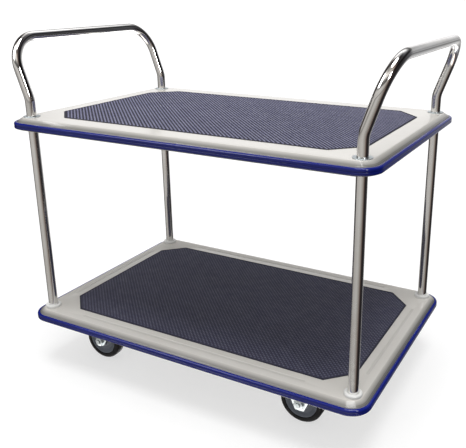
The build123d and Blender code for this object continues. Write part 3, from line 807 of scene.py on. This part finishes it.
def make_handle(end, sx):
    """The bent push bar: feet, knees, legs leaning outwards and the cross bar."""
    low, high = span(f"handle_{end}")
    post_low, post_high = span(f"post_front_{end}")
    radius = (post_high.x - post_low.x) / 2
    foot_x, foot_y = (post_low.x + post_high.x) / 2, (post_low.y + post_high.y) / 2
    bar_x = (high.x - radius) if sx > 0 else (low.x + radius)
    deck_top = span("upper_deck")[1].z
    route = [
        (foot_x, foot_y, low.z),
        (foot_x, foot_y, deck_top + HANDLE_KNEE),
        (bar_x, foot_y, high.z - radius),
    ]
    route += [(x, -y, z) for x, y, z in reversed(route)]
    path = rounded(route, [0, HANDLE_KNEE_R, HANDLE_BEND_R, HANDLE_BEND_R, HANDLE_KNEE_R, 0], turn=3.0)
    handle = Solid().tube(path, radius, steps=72)
    handle.piece(f"push_bar_{end}", "frame", "chromed_tube", [f"handle_{end}"], sharp=60)


def post_centres():
    """The posts' axes, seen from above."""
    return [(middle(f"post_{spot}").x, middle(f"post_{spot}").y) for spot in POSTS]


def make_washers(name, radius, bore, edge=0.5):
    """The washers of one CAD node, one at each post."""
    low, high = span(name)
    washers = Solid()
    section = rounded(
        [(bore, 0), (radius, 0), (radius, high.z - low.z), (bore, high.z - low.z)], edge, closed=True
    )
    for x, y in post_centres():
        washers.turned(section, (x, y, low.z), steps=72, ring=True)
    washers.piece(f"{name}_set", "frame", "zinc_steel", [name])


def make_base_bolts():
    """Hexagon bolts under the lower deck, at the posts."""
    low, high = span("base_bolts")
    seat = span("base_washers")[0].z
    bolts = Solid()
    for x, y in post_centres():
        bolts.hexagon((x, y, seat), -UP, BOLT_HEX, seat - low.z)
        bolts.turned([(0, 0), *thread_profile(BOLT_R - 0.05, 0.2, high.z - seat)], (x, y, seat), steps=24)
    bolts.piece("base_bolt_set", "frame", "zinc_steel", ["base_bolts"])


# Casters --------------------------------------------------------------------------
def plate_line(x, y, half_x=PLATE_HALF[0], half_y=PLATE_HALF[1], radius=10.0):
    """A rounded rectangle's outline about (x, y)."""
    corners = [(x + half_x, y - half_y), (x + half_x, y + half_y), (x - half_x, y + half_y)]
    return rounded(corners + [(x - half_x, y - half_y)], radius, closed=True)


def upright(y):
    """Places an (x, z) outline with its thickness along Y."""
    return lambda x, z, t: (x, y + t, z)


def make_fixed_bracket(side):
    """A bent bracket: plate, two tapering legs with cut corners, bend fillets and pressed axle rings."""
    node = f"fixed_bracket_{side}"
    low, high = span(node)
    centre = (low + high) / 2
    axle = middle(f"fixed_tyre_{side}")
    x, y, under = centre.x, centre.y, high.z - PLATE_T
    bracket = Solid().prism(plate_line(x, y), under, high.z, 0.6)
    outline = [(-10.5, low.z), (10.5, low.z), (22, low.z + 25), (36, under + 0.5)]
    outline = rounded(outline + [(-36, under + 0.5), (-22, low.z + 25)], [3, 3, 8, 0, 0, 8], closed=True)
    outline = [p + Vector((x, 0)) for p in outline]
    for sign in (-1, 1):
        inner, outer = sign * LEG_IN, sign * LEG_OUT
        bracket.prism(outline, min(inner, outer), max(inner, outer), 0.5, upright(y))
        ring = rounded([(9.5, -0.2), (14.2, -0.2), (13.2, 0.7), (10.2, 0.7)], [0, 0, 0.4, 0.4], closed=True)
        bracket.turned(ring, (axle.x, y + outer, axle.z), (0, sign, 0), ring=True)
        fillet = [(0, 0.2), (0, -3.4), (0.5, -1.6), (1.6, -0.5), (3.4, 0), (3.4, 0.2)]
        rows = []
        for step_x, size in ((-34.5, 0.2), (-33, 1), (33, 1), (34.5, 0.2)):
            sized = [(sign * (u * size - 0.1), v * size) for u, v in fillet]
            rows.append([Vector((x + step_x, y + outer + across, under + up)) for across, up in sized])
        bracket.grid(rows, caps=True)
    bracket.piece(f"bracket_{side}", "frame", "zinc_steel", [node])


def make_swivel_plate(side):
    """The swivel's plate with the upper ball track under it."""
    node = f"swivel_plate_{side}"
    low, high = span(node)
    centre = (low + high) / 2
    under = high.z - PLATE_T
    plate = Solid().prism(plate_line(centre.x, centre.y), under, high.z, 0.6)
    depth = under - low.z
    track = rounded(
        [
            (12, 0.3),
            (12, -depth),
            (TRACK_IN, -depth),
            (TRACK_MID, -depth + TRACK_DIP),
            (TRACK_OUT, -depth),
            (27, -depth),
            (27, 0.3),
        ],
        [0, 0.4, 0.3, 2.4, 0.3, 1.6, 0],
        closed=True,
    )
    plate.turned(track, (centre.x, centre.y, under), steps=72, ring=True)
    plate.piece(f"top_plate_{side}", "frame", "zinc_steel", [node])


def make_kingpin(side):
    """The rivet in the middle of a swivel."""
    node = f"kingpin_{side}"
    low, high = span(node)
    centre = (low + high) / 2
    height = high.z - low.z
    profile = rounded(
        [(0, 0), (10, 0), (10, 4), (6, 4), (6, height), (0, height)], [0, 1.8, 0.6, 0.5, 0.6, 0]
    )
    pin = Solid().turned(profile, (centre.x, centre.y, low.z), steps=48)
    pin.piece(f"rivet_{side}", "frame", "zinc_steel", [node])


def make_fork(side):
    """The swivel fork: crown with its lower ball track, bent legs and pressed axle rings."""
    node = f"swivel_fork_{side}"
    pin = middle(f"kingpin_{side}")
    axle = middle(f"swivel_tyre_{side}")
    high = span(node)[1]
    crown_top = CROWN_LOW + PLATE_T
    x, y = pin.x, pin.y
    fork = Solid().prism(plate_line(x - CROWN_BACK, y, 35, LEG_OUT, 8), CROWN_LOW, crown_top, 1.1)
    depth = high.z - crown_top
    cup = rounded(
        [
            (11, 0),
            (11, depth),
            (TRACK_IN, depth),
            (TRACK_MID, depth - TRACK_DIP),
            (TRACK_OUT, depth),
            (25, depth),
            (25, -0.3),
        ],
        [0, 0.4, 0.3, 2.4, 0.3, 1.0, 0],
    )
    fork.turned([*cup, (11, -0.3)], (x, y, crown_top), steps=72, ring=True)
    ring = [(14 * math.cos(a), 14 * math.sin(a)) for a in (math.pi * k / 20 for k in range(40))]
    leg = [(axle.x + u, axle.z + v) for u, v in ring]
    leg += [(x - 40, CROWN_LOW + 1.2), (x + 14, CROWN_LOW + 1.2)]
    outline = hull(leg)
    for sign in (-1, 1):
        inner, outer = sign * LEG_IN, sign * LEG_OUT
        fork.prism(outline, min(inner, outer), max(inner, outer), 0.5, upright(y))
        boss = rounded([(9.5, -0.2), (13.2, -0.2), (12.4, 0.6), (10.2, 0.6)], [0, 0, 0.3, 0.3], closed=True)
        fork.turned(boss, (axle.x, y + outer, axle.z), (0, sign, 0), ring=True)
    fork.piece(f"fork_{side}", f"swivel_{side}", "zinc_steel", [node])


def make_axle(kind, side, outward, body):
    """A caster's axle bolt: head on the inner side, threaded end past the nut."""
    node = f"{kind}_axle_{side}"
    low, high = span(node)
    centre = middle(f"{kind}_tyre_{side}")
    reach = (high.y if outward > 0 else -low.y) - outward * centre.y
    seat = centre - Vector((0, outward * LEG_OUT, 0))
    axle = Solid().hexagon(seat, (0, -outward, 0), AXLE_HEX, AXLE_HEAD)
    thread_from = 2 * LEG_OUT + 2
    profile = [(0, -0.2), (AXLE_R, -0.2), (AXLE_R, thread_from)]
    profile += thread_profile(AXLE_R, thread_from, LEG_OUT + reach)
    axle.turned(profile, seat, (0, outward, 0), steps=40)
    axle.piece(f"axle_{kind}_{side}", body, "zinc_steel", [node])


def make_axle_nuts(name, body, nodes, wheels):
    """Chamfered nuts on the axles' outer ends."""
    nuts = Solid()
    for wheel, outward in wheels:
        seat = middle(wheel) + Vector((0, outward * LEG_OUT, 0))
        nuts.hexagon(seat, (0, outward, 0), AXLE_HEX, AXLE_NUT, AXLE_R + 0.05)
    nuts.piece(name, body, "zinc_steel", nodes)


def make_wheel(kind, side, body):
    """A solid tyre on a dished grey centre."""
    node = f"{kind}_tyre_{side}"
    low, high = span(node)
    centre = (low + high) / 2
    radius, half = (high.z - low.z) / 2, (high.y - low.y) / 2
    rim_low, rim_high = span(f"{kind}_rim_{side}")
    seat = (rim_high.z - rim_low.z) / 2
    tread = radius - 0.15
    side_points = [(seat, half - 1.2), (seat + 1.6, half), (tread - 4, half), (tread, half - 4)]
    section = side_points + [(tread, 0.5), (radius, 0.25), (radius, -0.25), (tread, -0.5)]
    section += [(r, -h) for r, h in reversed(side_points)]
    radii = [0, 0.8, 4.5, 4.5, 0, 0, 0, 0, 4.5, 4.5, 0.8, 0]
    tyre = Solid().turned(rounded(section, radii, closed=True), centre, (0, 1, 0), steps=128, ring=True)
    tyre.piece(f"tyre_{kind}_{side}", body, "tyre_rubber", [node], sharp=50)

    rim_side = [
        (10, 17.9),
        (14.5, 17.9),
        (16.5, 11.6),
        (20, 10.2),
        (seat - 9, 10.2),
        (seat - 5, 11.8),
        (seat - 1.9, 12.8),
        (seat, 12.8),
    ]
    rim_radii = [0.5, 1.2, 2.6, 3.0, 3.4, 3.2, 1.0, 0]
    section = rim_side + [(r, -h) for r, h in reversed(rim_side)]
    radii = rim_radii + rim_radii[::-1]
    rim = Solid().turned(rounded(section, radii, closed=True), centre, (0, 1, 0), steps=128, ring=True)
    rim.piece(f"wheel_centre_{kind}_{side}", body, "wheel_centre", [f"{kind}_rim_{side}"])


def make_caster_bolts():
    """The bolts through each caster's plate and the channel, and their nuts."""
    low, high = span("caster_bolts")
    under = span("fixed_bracket_front")[1].z - PLATE_T
    nut_low, nut_high = span("caster_nuts")
    bolts, nuts = Solid(), Solid()
    for name in ("fixed_bracket", "swivel_plate"):
        for side, _ in SIDES:
            centre = middle(f"{name}_{side}")
            for i in (-PLATE_BOLTS[0], PLATE_BOLTS[0]):
                for j in (-PLATE_BOLTS[1], PLATE_BOLTS[1]):
                    x, y = centre.x + i, centre.y + j
                    bolts.hexagon((x, y, under), -UP, BOLT_HEX, under - low.z)
                    profile = [(0, 0), *thread_profile(BOLT_R, 0.2, high.z - under)]
                    bolts.turned(profile, (x, y, under), steps=24)
                    nuts.hexagon((x, y, nut_low.z), UP, BOLT_HEX, nut_high.z - nut_low.z, BOLT_R + 0.05)
    bolts.piece("caster_bolt_set", "frame", "zinc_steel", ["caster_bolts"])
    nuts.piece("caster_nut_set", "frame", "zinc_steel", ["caster_nuts"])


for level in ("lower", "upper"):
    make_deck(level)
    make_mat(level)
    make_bumper(level)
    for end, _ in ENDS:
        make_channel(level, end)
for spot in POSTS:
    make_post(spot)
for end, sx in ENDS:
    make_handle(end, sx)
make_washers("handle_washers", radius=19.0, bore=4.2)
make_washers("base_washers", radius=12.0, bore=4.2, edge=0.4)
make_base_bolts()
make_caster_bolts()
for side, outward in SIDES:
    make_fixed_bracket(side)
    make_swivel_plate(side)
    make_kingpin(side)
    make_fork(side)
    make_axle("fixed", side, outward, "frame")
    make_axle("swivel", side, outward, f"swivel_{side}")
    make_wheel("fixed", side, f"fixed_wheel_{side}")
    make_wheel("swivel", side, f"swivel_wheel_{side}")
    wheel = (f"swivel_tyre_{side}", outward)
    make_axle_nuts(f"nut_swivel_{side}", f"swivel_{side}", [f"swivel_nut_{side}"], [wheel])
make_axle_nuts("nut_fixed_set", "frame", ["fixed_nuts"], [(f"fixed_tyre_{s}", o) for s, o in SIDES])


# Stage, light and camera ----------------------------------------------------------
def make_floor():
    """A pale floor that shades the camera's view and nothing else."""
    mesh = bpy.data.meshes.new("floor")
    corners = [(x * FLOOR_HALF, y * FLOOR_HALF, 0) for x, y in ((-1, -1), (1, -1), (1, 1), (-1, 1))]
    mesh.from_pydata(corners, [], [(0, 1, 2, 3)])
    s = Shader("floor_pale", 0.8, Emission_Color=(1, 1, 1, 1), Emission_Strength=0.62)
    s.colour(s.mix(s.fit(s.noise(2, 3), 0.3, 0.7, 0, 1), (0.4, 0.4, 0.4), (0.42, 0.42, 0.42)))
    mesh.materials.append(s.material)
    floor = bpy.data.objects.new("floor", mesh)
    bpy.context.scene.collection.objects.link(floor)
    floor.visible_glossy = False
    floor.visible_diffuse = False


def aim(thing, place, target):
    """Puts a lamp or camera at a place, facing a target."""
    thing.location = Vector(place)
    thing.rotation_mode = "QUATERNION"
    thing.rotation_quaternion = (Vector(target) - Vector(place)).to_track_quat("-Z", "Y")


def soft_light(name, place, target, size, watts):
    """A rectangular lamp that only lights gloss."""
    light = bpy.data.lights.new(name, "AREA")
    light.shape = "RECTANGLE"
    light.size, light.size_y = size
    light.energy = watts
    lamp = bpy.data.objects.new(name, light)
    bpy.context.scene.collection.objects.link(lamp)
    lamp.visible_diffuse = False
    aim(lamp, place, target)


def make_camera():
    """The camera, in front and to the right of the trolley and a little above it."""
    level_x, level_y = -math.sin(CAMERA_YAW), math.cos(CAMERA_YAW)
    flat, down = math.cos(CAMERA_PITCH), -math.sin(CAMERA_PITCH)
    ahead = Vector((level_x * flat, level_y * flat, down))
    data = bpy.data.cameras.new("camera")
    data.sensor_width = 36.0
    data.lens = 50.37
    data.shift_x, data.shift_y = -0.0976, -0.0644
    data.clip_end = 100.0
    camera = bpy.data.objects.new("camera", data)
    bpy.context.scene.collection.objects.link(camera)
    aim(camera, CAMERA_PLACE, CAMERA_PLACE + ahead)
    bpy.context.scene.camera = camera


def make_world():
    """White behind the object, a soft dome for its light, and a banded studio in its gloss."""
    world = bpy.data.worlds.new("studio")
    bpy.context.scene.world = world
    world.use_nodes = True
    n = Nodes(world.node_tree)
    ray = n.node("LightPath")
    glossy, seen = ray.outputs["Is Glossy Ray"], ray.outputs["Is Camera Ray"]
    direction = n.node("TexCoord").outputs["Generated"]
    height = n.node("SeparateXYZ", {0: direction}).outputs["Z"]
    turn = n.node("TexGradient", {0: direction}, gradient_type="RADIAL").outputs["Fac"]
    lean = n.node("VectorMath", {0: direction, 1: SOFT_FROM}, operation="DOT_PRODUCT").outputs["Value"]

    soft_strength = n.fit(lean, -0.4, 1.0, *SOFT_RANGE)
    glossy_strength = n.ramp(n.fit(height, -1, 1, 0, 1), STUDIO_HEIGHTS)
    bands = n.ramp(turn, [(degrees / 360 + 0.5, shade) for degrees, shade in STUDIO_BANDS])
    background = n.tree.nodes["Background"]
    strength = n.choose(seen, n.choose(glossy, soft_strength, glossy_strength), 1.0)
    n.feed(background.inputs["Strength"], strength)
    n.feed(background.inputs["Color"], n.mix(glossy, (1, 1, 1), bands))


def wide_sun(name, direction, strength, degrees):
    """A soft overhead light from a direction, as wide as the degrees it spans."""
    light = bpy.data.lights.new(name, "SUN")
    light.energy = strength
    light.angle = math.radians(degrees)
    sun = bpy.data.objects.new(name, light)
    bpy.context.scene.collection.objects.link(sun)
    aim(sun, direction, (0, 0, 0))


make_floor()
make_camera()
make_world()
wide_sun("overhead", (0.1, -0.12, 1.25), 1.75, 30)
soft_light("key", (-1.6, -1.8, 2.6), (0, 0, 0.4), (1.6, 1.6), 40)
soft_light("window", (2.7, -1.75, 2.1), (0.4, -0.25, 0.4), (0.4, 1.0), 26)
bpy.context.scene.view_settings.view_transform = "Standard"
